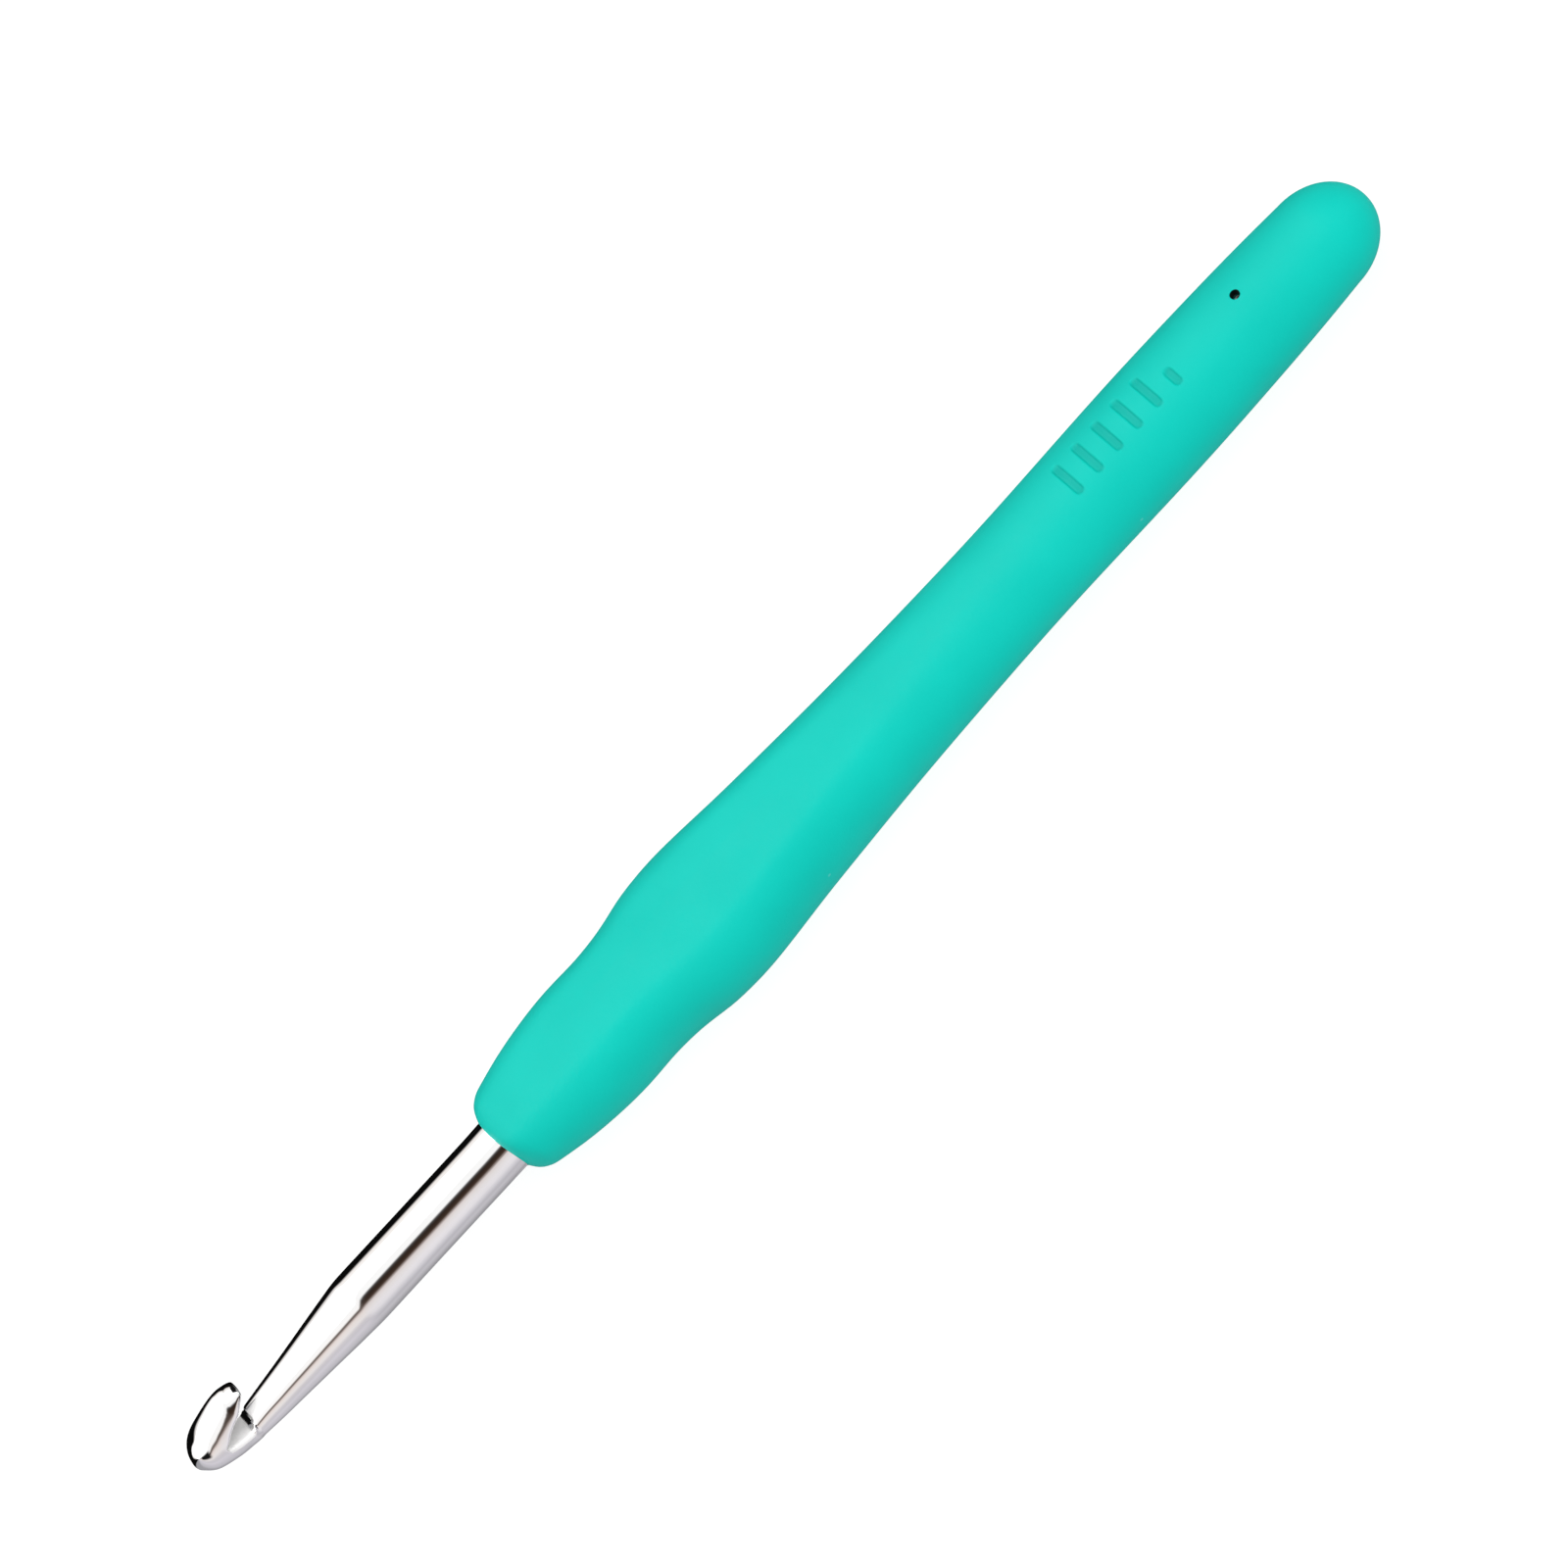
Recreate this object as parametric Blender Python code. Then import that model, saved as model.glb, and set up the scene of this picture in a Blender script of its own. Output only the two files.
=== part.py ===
"""Crochet hook with a soft grip: a one-piece polished aluminium hook whose tang sits in a hard plastic
core, and a soft rubber grip moulded over that core. Lengths below are millimetres, x counted from the
hook's tip or from the grip's front face as each comment says. +X runs from the hook's tip to the tail,
+Z out of the grip's thumb flat. The tool lies on its lower flat at z = 0."""

import math

import bmesh
import bpy

for old in list(bpy.data.objects):
    bpy.data.objects.remove(old, do_unlink=True)

MM = 0.001
SIDES = 32  # facets round every turned piece, the same on mating pieces so that their gaps stay even

# Overall
OVERALL = 148.3
GRIP_LENGTH = 110.5
GRIP_FRONT = OVERALL - GRIP_LENGTH  # the grip's front face, from the hook's tip
AXIS_HEIGHT = 5.33 * math.cos(math.pi / SIDES)  # the shaft's axis above the lower flat
GAP = 0.1  # all round between mating pieces

# Hook: shaft and tang
SHAFT_D = 5.5
TANG_LENGTH = 60.0  # inside the grip
TANG_FLATS_FROM = 49.0  # from the grip's front face
TANG_FLAT_HALF = 2.1  # half the thickness across the two milled flats
HOOK_TWIST = math.radians(29.5)  # the mouth's turn about the shaft, from the thumb flat toward +Y

# Hook: head, as (x from tip, top, bottom, half width) with heights in the mouth's direction
HEAD = (
    (0.10, 1.44, 0.45, 0.50),
    (0.37, 2.24, 0.16, 0.97),
    (0.79, 2.78, -0.30, 1.42),
    (1.21, 3.14, -0.66, 1.74),
    (2.05, 3.57, -1.00, 2.05),
    (2.89, 3.84, -1.29, 2.13),
    (3.73, 4.06, -1.55, 2.12),
    (4.57, 4.22, -1.71, 2.10),
    (5.41, 4.29, -1.82, 2.03),
    (6.25, 4.24, -1.84, 1.90),
    (6.72, 4.12, -1.86, 1.74),
    (7.09, 3.90, -1.86, 1.46),
    (7.33, 3.66, -1.86, 1.05),
)
HEAD_TIP_HEIGHT = 0.94
LIP_END = (6.70, 3.45, 0.73)  # centre x, centre height and radius of the rounded lip
MOUTH_ROOF = ((6.25, 2.56), (5.41, 2.20), (4.20, 1.60), (3.20, 1.12))
MOUTH_APEX = ((3.02, 1.05), (2.96, 0.97), (3.02, 0.88))
MOUTH_FLOOR = ((3.73, 0.42), (4.74, 0.0), (5.30, -0.17))
STEP_FILLET = (5.55, 0.62, 0.85)  # centre x, centre height and radius where floor turns up into step
# Hook: throat and taper, as (x from tip, centre height, half height, half width)
THROAT = (
    (3.60, -0.35, 0.70, 1.00),
    (4.57, -0.42, 1.15, 1.42),
    (5.41, -0.42, 1.30, 1.62),
    (6.25, -0.42, 1.43, 1.64),
    (6.76, -0.42, 1.50, 1.63),
    (8.00, -0.43, 1.62, 1.67),
    (9.61, -0.43, 1.75, 1.75),
    (13.56, -0.32, 2.13, 2.13),
    (17.0, -0.14, 2.49, 2.49),
    (19.2, -0.03, 2.69, 2.69),
    (20.4, 0.0, SHAFT_D / 2, SHAFT_D / 2),
)

# Grip, as (x from its front face, half width, half height, half width of the two flats)
GRIP = (
    (0.04, 2.20, 2.20, 0.50),
    (0.20, 3.04, 3.00, 0.70),
    (0.40, 3.23, 3.16, 0.90),
    (0.75, 3.57, 3.38, 1.20),
    (1.40, 3.99, 3.72, 1.40),
    (2.40, 4.46, 4.05, 1.50),
    (4.10, 4.84, 4.42, 1.70),
    (5.80, 5.17, 4.70, 1.80),
    (7.50, 5.41, 4.93, 1.95),
    (9.20, 5.57, 5.12, 2.10),
    (10.9, 5.68, 5.26, 2.20),
    (12.5, 5.71, 5.33, 2.30),
    (14.2, 5.66, 5.33, 2.30),
    (15.9, 5.59, 5.33, 2.30),
    (17.6, 5.66, 5.33, 2.35),
    (19.2, 5.84, 5.33, 2.45),
    (20.9, 6.19, 5.33, 2.60),
    (22.6, 6.57, 5.33, 2.80),
    (24.3, 6.75, 5.33, 2.90),
    (25.9, 6.85, 5.33, 3.00),
    (27.7, 6.81, 5.33, 3.00),
    (29.3, 6.68, 5.33, 3.00),
    (31.0, 6.52, 5.33, 2.95),
    (34.4, 6.19, 5.33, 2.75),
    (39.5, 5.87, 5.32, 2.20),
    (46.2, 5.53, 5.23, 1.50),
    (52.9, 5.31, 5.15, 0.90),
    (59.6, 5.18, 5.10, 0.40),
    (65.5, 5.10, 5.08, 0.15),
    (76.4, 5.25, 5.22, 0.0),
    (84.8, 5.33, 5.33, 0.0),
    (91.5, 5.24, 5.24, 0.0),
    (98.2, 5.06, 5.06, 0.0),
    (101.6, 4.91, 4.91, 0.0),
    (104.5, 4.75, 4.75, 0.0),
)
TAIL_LENGTH = 6.0  # the tail's elliptical dome, behind the last station
TAIL_STEPS = 7

# Hard core inside the grip, x from the grip's front face
CORE_FROM, CORE_TO = 5.0, 104.0
CORE_DOME = 3.2
WALL_SIDE, WALL_FLAT = 1.35, 1.25  # the grip's thickness at its sides and at its flats
CORE_RIBS = (12.0, 40.0, 60.0, 80.0)
RIB_HEIGHT, RIB_HALF = 0.4, 0.8
CORE_STATIONS = (5.0, 8.0, 16.0, 20.0, 24.0, 28.0, 34.0, 50.0, 66.0, 85.0, 92.0, 100.0, 104.0)

# Size tally pressed into the grip over the thumb flat's line: five long strokes and one half stroke
TALLY_FROM, TALLY_PITCH, TALLY_COUNT = 74.9, 2.5, 6
TALLY_WIDTH, TALLY_DEPTH = 0.8, 0.25
TALLY_HALF_ARC = math.radians(20.5)

# Moulding pin hole, x from the grip's front face
PIN_X, PIN_D, PIN_BOTTOM = 96.4, 0.84, 2.6


def place(x, y, z):
    """A point given from the hook's tip and the shaft's axis, in metres in the part's frame."""
    return ((x - OVERALL / 2) * MM, y * MM, (z + AXIS_HEIGHT) * MM)


def twisted(x, side, up):
    """A point in the hook's own plane, up toward its mouth, turned about the shaft."""
    y = side * math.cos(HOOK_TWIST) + up * math.sin(HOOK_TWIST)
    z = up * math.cos(HOOK_TWIST) - side * math.sin(HOOK_TWIST)
    return place(x, y, z)


def angles():
    return [2 * math.pi * (i + 0.5) / SIDES for i in range(SIDES)]


def new_object(name, bm):
    bmesh.ops.recalc_face_normals(bm, faces=bm.faces[:])
    mesh = bpy.data.meshes.new(name)
    bm.to_mesh(mesh)
    bm.free()
    obj = bpy.data.objects.new(name, mesh)
    bpy.context.scene.collection.objects.link(obj)
    return obj


def loft(name, rings, start=None, end=None):
    """A closed skin over rings of points. A start or end point makes a cone there, else a flat cap."""
    bm = bmesh.new()
    loops = [[bm.verts.new(p) for p in ring] for ring in rings]
    for near, far in zip(loops, loops[1:]):
        for i in range(len(near)):
            j = (i + 1) % len(near)
            bm.faces.new((near[i], near[j], far[j], far[i]))
    for loop, pole in ((loops[0], start), (loops[-1], end)):
        if pole is None:
            bm.faces.new(loop)
            continue
        tip = bm.verts.new(pole)
        for i in range(len(loop)):
            bm.faces.new((loop[i], loop[(i + 1) % len(loop)], tip))
    return new_object(name, bm)


def prism(name, outline, half):
    """The hook's side outline, carried across its width."""
    bm = bmesh.new()
    near = [bm.verts.new(twisted(x, -half, up)) for x, up in outline]
    far = [bm.verts.new(twisted(x, half, up)) for x, up in outline]
    bm.faces.new(near)
    bm.faces.new(far)
    for i in range(len(outline)):
        j = (i + 1) % len(outline)
        bm.faces.new((near[i], near[j], far[j], far[i]))
    return new_object(name, bm)


def boolean(obj, tool, operation):
    """Applies one Boolean and leaves the result as obj's own mesh."""
    modifier = obj.modifiers.new(operation.lower(), "BOOLEAN")
    modifier.operation = operation
    modifier.solver = "EXACT"
    modifier.object = tool
    graph = bpy.context.evaluated_depsgraph_get()
    mesh = bpy.data.meshes.new_from_object(obj.evaluated_get(graph))
    obj.modifiers.clear()
    obj.data = mesh
    bpy.data.objects.remove(tool, do_unlink=True)


def arc(cx, cy, radius, a0, a1, steps):
    return [
        (cx + radius * math.cos(a), cy + radius * math.sin(a))
        for a in (math.radians(a0 + (a1 - a0) * i / steps) for i in range(steps + 1))
    ]


def head_ring(x, top, bottom, half):
    mid, rise = (top + bottom) / 2, (top - bottom) / 2
    return [twisted(x, half * math.cos(t), mid + rise * math.sin(t)) for t in angles()]


def round_ring(x, centre, radius, flat=None):
    """A circle, or one with two parallel flats at that distance from its centre."""
    limit = radius if flat is None else flat
    rise = [max(-limit, min(limit, radius * math.sin(t))) for t in angles()]
    return [twisted(x, radius * math.cos(t), centre + u) for t, u in zip(angles(), rise)]


def tang_rings(radius, flat, spare):
    """The shaft from the grip's front face to the tang's end, and the same with a gap for the core's bore."""
    x0 = GRIP_FRONT + TANG_FLATS_FROM + spare
    x1 = GRIP_FRONT + TANG_LENGTH + spare
    return [
        round_ring(x0, 0.0, radius),
        round_ring(x0 + 0.3, 0.0, radius, flat),
        round_ring(x1, 0.0, radius, flat),
    ]


def grip_size(x):
    """The grip's (half width, half height, half width of flat) at x, between its stations."""
    for a, b in zip(GRIP, GRIP[1:]):
        if a[0] <= x <= b[0]:
            share = (x - a[0]) / (b[0] - a[0])
            return [p + (q - p) * share for p, q in zip(a[1:], b[1:])]
    return list(GRIP[-1][1:])


def grip_ring(x, half_width, half_height, flat):
    """An ellipse parted along Y by the width of the flats."""
    ring = []
    for t in angles():
        shift = flat if math.cos(t) > 0 else -flat
        y = shift + (half_width - flat) * math.cos(t)
        ring.append(place(GRIP_FRONT + x, y, half_height * math.sin(t)))
    return ring


def oval_ring(x, half_width, half_height):
    return [
        place(GRIP_FRONT + x, half_width * math.cos(t), half_height * math.sin(t)) for t in angles()
    ]


def core_rings(spare):
    """The core's rings with its raised ribs. A spare makes the grip's cavity that much larger."""
    stations = [(x, 0.0) for x in CORE_STATIONS]
    for rib in CORE_RIBS:
        foot = RIB_HALF + 0.2 + spare
        crest = RIB_HALF + spare
        stations += [(rib - foot, 0), (rib - crest, 1), (rib + crest, 1), (rib + foot, 0)]
    rings = []
    for x, raised in sorted(stations):
        width, height, _ = grip_size(x)
        grow = spare + raised * RIB_HEIGHT
        if x == CORE_FROM:
            x -= spare
        rings.append(oval_ring(x, width - WALL_SIDE + grow, height - WALL_FLAT + grow))
    width, height, _ = grip_size(CORE_TO)
    for t in (20, 40, 60, 78):
        c, s = math.cos(math.radians(t)), math.sin(math.radians(t))
        rings.append(
            oval_ring(
                CORE_TO + (CORE_DOME + spare) * s,
                (width - WALL_SIDE + spare) * c,
                (height - WALL_FLAT + spare) * c,
            )
        )
    return rings


def pin_cutter():
    rings = []
    for z in (PIN_BOTTOM, GRIP[0][1] + 5.0):
        rings.append(
            [
                place(
                    GRIP_FRONT + PIN_X + PIN_D / 2 * math.cos(2 * math.pi * i / 12),
                    PIN_D / 2 * math.sin(2 * math.pi * i / 12),
                    z,
                )
                for i in range(12)
            ]
        )
    return loft("pin_cutter", rings)


def stroke_cutter(x, from_arc, to_arc):
    """A bar bent round the grip, narrowed at its two ends, reaching TALLY_DEPTH under the surface."""
    half = TALLY_WIDTH / 2
    floor = grip_size(x)[1] - TALLY_DEPTH
    rings = []
    for share, wide in ((0, 0.45), (0.05, 0.85), (0.12, 1), (0.5, 1), (0.88, 1), (0.95, 0.85), (1, 0.45)):
        t = from_arc + (to_arc - from_arc) * share
        rings.append(
            [
                place(GRIP_FRONT + x + dx * wide, r * math.sin(t), r * math.cos(t))
                for dx, r in ((-half, floor), (half, floor), (half, floor + 1), (-half, floor + 1))
            ]
        )
    return loft("stroke_cutter", rings)


def finish(obj, colour, roughness, metallic, angle):
    """A material of its own, and smooth shading across edges flatter than the angle."""
    material = bpy.data.materials.new(obj.name + "_material")
    material.use_nodes = True
    shader = material.node_tree.nodes["Principled BSDF"]
    shader.inputs["Base Color"].default_value = (*colour, 1)
    shader.inputs["Roughness"].default_value = roughness
    shader.inputs["Metallic"].default_value = metallic
    material.diffuse_color = (*colour, 1)
    obj.data.materials.clear()
    obj.data.materials.append(material)
    bm = bmesh.new()
    bm.from_mesh(obj.data)
    for face in bm.faces:
        face.smooth = True
    for edge in bm.edges:
        edge.smooth = len(edge.link_faces) == 2 and edge.calc_face_angle(0) < math.radians(angle)
    bm.to_mesh(obj.data)
    bm.free()


def make_hook():
    floor = list(MOUTH_FLOOR)
    step = arc(*STEP_FILLET, -75, 0, 5)
    lip = arc(*LIP_END, 80, -65, 9)
    outline = [(-1, -3), (-1, 5), (6.2, 5)] + lip + list(MOUTH_ROOF) + list(MOUTH_APEX)
    outline += floor + step[:2] + [(step[1][0], -3)]
    rings = [head_ring(*station) for station in HEAD]
    hook = loft("hook", rings, start=twisted(0, 0, HEAD_TIP_HEIGHT))
    boolean(hook, prism("head_outline", outline, 3), "INTERSECT")

    radius = SHAFT_D / 2
    rings = [head_ring(x, mid + rise, mid - rise, half) for x, mid, rise, half in THROAT]
    rings += tang_rings(radius, TANG_FLAT_HALF, 0.0)
    end = GRIP_FRONT + TANG_LENGTH
    rings.append(round_ring(end + 0.5, 0.0, radius - 0.5, TANG_FLAT_HALF - 0.4))
    shank = loft("shank", rings)
    step_x = STEP_FILLET[0] + STEP_FILLET[2]
    notch = [(floor[0][0], 3.0)] + floor + step + [(step_x, 3.0)]
    boolean(shank, prism("mouth_cutter", notch, 3), "DIFFERENCE")
    boolean(hook, shank, "UNION")
    finish(hook, (0.86, 0.86, 0.87), 0.08, 1.0, 32)


def make_core():
    core = loft("handle_core", core_rings(0.0))
    radius = SHAFT_D / 2 + GAP
    bore = [round_ring(GRIP_FRONT + CORE_FROM - 1, 0.0, radius)]
    bore += tang_rings(radius, TANG_FLAT_HALF + GAP, GAP)
    bore.append(round_ring(GRIP_FRONT + TANG_LENGTH + 0.5 + GAP, 0.0, radius - 0.5, TANG_FLAT_HALF))
    boolean(core, loft("core_bore", bore), "DIFFERENCE")
    boolean(core, pin_cutter(), "DIFFERENCE")
    finish(core, (0.82, 0.83, 0.81), 0.5, 0.0, 32)


def make_grip():
    rings = [grip_ring(*station) for station in GRIP]
    last_x, last_width, last_height, _ = GRIP[-1]
    for i in range(1, TAIL_STEPS):
        t = math.pi / 2 * i / TAIL_STEPS
        c, s = math.cos(t), math.sin(t)
        rings.append(oval_ring(last_x + TAIL_LENGTH * s, last_width * c, last_height * c))
    front = place(GRIP_FRONT, 0, 0)
    grip = loft("grip", rings, start=front, end=place(OVERALL, 0, 0))
    cavity = [round_ring(GRIP_FRONT - 1, 0.0, SHAFT_D / 2 + GAP)]
    cavity.append(round_ring(GRIP_FRONT + CORE_FROM + 0.6, 0.0, SHAFT_D / 2 + GAP))
    hole = loft("shaft_hole", cavity)
    boolean(grip, hole, "DIFFERENCE")
    boolean(grip, loft("core_cavity", core_rings(GAP)), "DIFFERENCE")
    boolean(grip, pin_cutter(), "DIFFERENCE")
    for i in range(TALLY_COUNT):
        to_arc = TALLY_HALF_ARC if i < TALLY_COUNT - 1 else 0.0
        cutter = stroke_cutter(TALLY_FROM + i * TALLY_PITCH, -TALLY_HALF_ARC, to_arc)
        boolean(grip, cutter, "DIFFERENCE")
    finish(grip, (0.02, 0.62, 0.53), 0.55, 0.0, 32)


make_hook()
make_core()
make_grip()
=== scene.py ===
"""Visual model of the crochet hook: the polished aluminium hook and the soft rubber grip as fine meshes
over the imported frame, with procedural materials, a pale floor, studio light and the camera."""

import math

import bpy
import numpy as np
from mathutils import Matrix, Vector


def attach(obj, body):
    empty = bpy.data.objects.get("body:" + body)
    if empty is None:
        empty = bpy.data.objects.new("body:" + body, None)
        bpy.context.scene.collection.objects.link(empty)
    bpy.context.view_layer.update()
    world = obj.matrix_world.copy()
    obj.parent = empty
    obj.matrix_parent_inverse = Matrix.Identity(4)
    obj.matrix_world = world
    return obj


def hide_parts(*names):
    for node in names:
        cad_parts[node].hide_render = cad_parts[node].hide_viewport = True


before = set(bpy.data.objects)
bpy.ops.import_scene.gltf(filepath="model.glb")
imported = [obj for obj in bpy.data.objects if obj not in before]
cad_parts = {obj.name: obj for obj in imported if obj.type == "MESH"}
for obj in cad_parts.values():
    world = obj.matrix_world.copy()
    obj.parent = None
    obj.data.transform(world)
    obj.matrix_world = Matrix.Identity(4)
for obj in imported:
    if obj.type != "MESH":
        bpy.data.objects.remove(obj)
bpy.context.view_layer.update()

# ---------------------------------------------------------------- sizes, in millimetres
MM = 0.001
OVERALL = 148.3
GRIP_LENGTH = 110.5
GRIP_FRONT = OVERALL - GRIP_LENGTH
AXIS_Z = 5.33 * math.cos(math.pi / 32)
SHAFT_R = 2.75
TANG_FLATS, TANG_END = 49.2, 60.5  # from the grip's front face
TANG_FLAT_HALF = 2.1
TWIST = math.radians(29.5)  # the mouth's direction, from the thumb flat toward +Y
VIEW_TILT = math.radians(28.5)  # the camera's direction, from the thumb flat toward -Y
ROLL = math.radians(47.74)  # the tool's rise to the right in the picture

# x from the tip, then top, bottom and half width of the head before the mouth is cut
HEAD = np.array(
    (
        (0.00, 0.90, 0.90, 0.00),
        (0.10, 1.42, 0.42, 0.48),
        (0.37, 2.10, 0.12, 0.99),
        (0.79, 2.68, -0.33, 1.47),
        (1.21, 3.07, -0.65, 1.78),
        (2.05, 3.55, -1.01, 2.07),
        (2.89, 3.84, -1.30, 2.14),
        (3.73, 4.06, -1.55, 2.13),
        (4.57, 4.25, -1.71, 2.10),
        (5.41, 4.37, -1.82, 2.07),
        (6.25, 4.35, -1.88, 2.04),
        (7.50, 4.02, -1.95, 1.90),
    )
)
LIP_PLAN = (5.00, 2.80, 2.6)  # where the lip starts to narrow in plan, its length, and how blunt it is
LIP_END = (6.76, 3.46, 0.88)  # the lip's rounded end in side view: its centre and radius
SADDLE = (0.14, 1.95)  # the crown of the mouth's floor and the half width that it spans
# the mouth in side view, x from the tip and height: its roof under the lip, its apex and its floor
ROOF = ((6.77, 2.65), (6.27, 2.34), (5.45, 1.99), (4.43, 1.56), (3.45, 1.13))
APEX = ((3.19, 1.06), (3.13, 0.98), (3.19, 0.89))
FLOOR = ((3.80, 0.52), (4.30, 0.33), (4.80, 0.19), (5.30, 0.08))
STEP = (5.58, 0.88, 0.82)  # the round step up to the shank at the floor's end: its centre and radius
# x from the tip, centre height, half height, half width of the throat, taper and shaft
SHANK = np.array(
    (
        (3.60, -0.38, 0.75, 1.05),
        (4.57, -0.40, 1.10, 1.36),
        (5.41, -0.40, 1.32, 1.54),
        (6.25, -0.38, 1.46, 1.60),
        (7.65, -0.36, 1.64, 1.66),
        (9.16, -0.33, 1.78, 1.79),
        (10.2, -0.30, 1.87, 1.87),
        (11.9, -0.25, 2.02, 2.02),
        (13.5, -0.20, 2.17, 2.17),
        (15.2, -0.14, 2.33, 2.33),
        (16.9, -0.09, 2.49, 2.49),
        (18.6, -0.03, 2.64, 2.64),
        (19.6, 0.0, 2.715, 2.715),
        (20.6, 0.0, 2.74, 2.74),
        (22.0, 0.0, 2.74, 2.74),
        (40.0, 0.0, 2.74, 2.74),
        (99.0, 0.0, 2.74, 2.74),
    )
)
SAG = 0.16  # how far the shaft has bent toward the floor side where it enters the grip
# x from the grip's front face, half width, half height, half width of the flats
GRIP = np.array(
    (
        (0.27, 2.86, 2.86, 0.60),
        (0.32, 3.02, 2.99, 0.70),
        (0.40, 3.22, 3.14, 0.85),
        (0.52, 3.48, 3.34, 1.05),
        (0.72, 3.78, 3.57, 1.25),
        (1.15, 4.10, 3.83, 1.40),
        (1.75, 4.34, 3.99, 1.47),
        (2.50, 4.50, 4.12, 1.53),
        (4.10, 4.84, 4.42, 1.68),
        (5.80, 5.17, 4.70, 1.82),
        (7.50, 5.41, 4.93, 1.96),
        (9.20, 5.57, 5.12, 2.10),
        (10.9, 5.68, 5.26, 2.20),
        (12.5, 5.71, 5.32, 2.28),
        (14.2, 5.66, 5.33, 2.30),
        (15.9, 5.59, 5.33, 2.30),
        (17.6, 5.66, 5.33, 2.35),
        (19.2, 5.84, 5.33, 2.45),
        (20.9, 6.19, 5.33, 2.62),
        (22.6, 6.57, 5.33, 2.80),
        (24.3, 6.76, 5.33, 2.93),
        (25.9, 6.84, 5.33, 3.00),
        (27.7, 6.81, 5.33, 3.02),
        (29.3, 6.69, 5.33, 3.00),
        (31.0, 6.52, 5.33, 2.95),
        (34.4, 6.19, 5.33, 2.68),
        (39.5, 5.87, 5.32, 2.20),
        (46.2, 5.56, 5.25, 1.55),
        (52.9, 5.36, 5.19, 0.95),
        (59.6, 5.23, 5.15, 0.45),
        (65.5, 5.16, 5.13, 0.15),
        (76.4, 5.27, 5.25, 0.0),
        (84.8, 5.33, 5.33, 0.0),
        (91.5, 5.24, 5.24, 0.0),
        (98.2, 5.06, 5.06, 0.0),
        (101.6, 4.91, 4.91, 0.0),
        (104.5, 4.75, 4.75, 0.0),
    )
)
TAIL_LENGTH = 5.84
FRONT_CROWN = 1 / 24  # how the front face falls back across the grip, per millimetre
CORE_FROM, CORE_TO, CORE_DOME = 5.0, 104.0, 3.3
WALL_SIDE, WALL_FLAT = 1.35, 1.25
CORE_RIBS, RIB_HEIGHT, RIB_HALF = (12.0, 40.0, 60.0, 80.0), 0.4, 0.8
TALLY_X, TALLY_PITCH, TALLY_COUNT = 74.9, 2.5, 6
TALLY_HALF, TALLY_DEPTH, TALLY_ARC = 0.40, 0.24, 1.88
STROKE_SHADE = 0.2  # how dark a pressed stroke is painted as shade in its recess, where the pin hole's inside is 1
PIN_X, PIN_R = 96.15, 0.44
PIN_MOUTH_R = PIN_R + 0.10


# ---------------------------------------------------------------- helpers
def spline(knots, values, at):
    """Natural cubic spline through values (n, k) at knots (n), read at the points in at."""
    knots, values = np.asarray(knots, float), np.asarray(values, float)
    n, h = len(knots), np.diff(knots)
    a = np.zeros((n, n))
    b = np.zeros_like(values)
    a[0, 0] = a[-1, -1] = 1
    for i in range(1, n - 1):
        a[i, i - 1 : i + 2] = h[i - 1], 2 * (h[i - 1] + h[i]), h[i]
        b[i] = 6 * ((values[i + 1] - values[i]) / h[i] - (values[i] - values[i - 1]) / h[i - 1])
    m = np.linalg.solve(a, b)
    at = np.clip(at, knots[0], knots[-1])
    i = np.clip(np.searchsorted(knots, at, side="right") - 1, 0, n - 2)
    u, v, w = (knots[i + 1] - at)[..., None], (at - knots[i])[..., None], h[i][..., None]
    lo, hi = values[i], values[i + 1]
    return (
        m[i] * u**3 / (6 * w)
        + m[i + 1] * v**3 / (6 * w)
        + (lo / w - m[i] * w / 6) * u
        + (hi / w - m[i + 1] * w / 6) * v
    )


def ease(lo, hi, v):
    t = np.clip((v - lo) / (hi - lo), 0, 1)
    return t * t * (3 - 2 * t)


def mesh_object(name, points, quads, marks, normals=None):
    """A smooth mesh from points in millimetres from the tip and the shaft's axis.

    marks is (attribute name, one value for each point), which the material reads.
    """
    points = (points + np.array((-OVERALL / 2, 0, AXIS_Z))) * MM
    mesh = bpy.data.meshes.new(name)
    mesh.vertices.add(len(points))
    mesh.vertices.foreach_set("co", points.astype(np.float32).ravel())
    faces = np.asarray(quads, np.int32)
    mesh.loops.add(faces.size)
    mesh.loops.foreach_set("vertex_index", faces.ravel())
    mesh.polygons.add(len(faces))
    mesh.polygons.foreach_set("loop_start", np.arange(0, faces.size, 4, dtype=np.int32))
    mesh.update(calc_edges=True)
    mesh.validate()
    mesh.shade_smooth()
    mark = mesh.attributes.new(marks[0], "FLOAT", "POINT")
    mark.data.foreach_set("value", np.asarray(marks[1], np.float32))
    if normals is not None:
        mesh.normals_split_custom_set_from_vertices(normals.tolist())
    obj = bpy.data.objects.new(name, mesh)
    bpy.context.scene.collection.objects.link(obj)
    return obj


def untwist(x, side, up):
    """From the hook's own plane to Y and Z about the shaft's axis."""
    y = side * math.cos(TWIST) + up * math.sin(TWIST)
    z = up * math.cos(TWIST) - side * math.sin(TWIST)
    return np.stack([x, y, z], -1)


def sagged(points):
    """The shaft's slight bend toward -Y, which ends inside the grip's front wall."""
    x = points[:, 0]
    drop = SAG * np.clip((x - 18.5) / (GRIP_FRONT - 18.5), 0, None)
    drop = np.where(x > GRIP_FRONT + 0.6, SAG * (1 - ease(GRIP_FRONT + 0.6, GRIP_FRONT + 4.4, x)), drop)
    down = np.array((0, math.cos(VIEW_TILT), math.sin(VIEW_TILT)))
    return points - drop[:, None] * down


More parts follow.
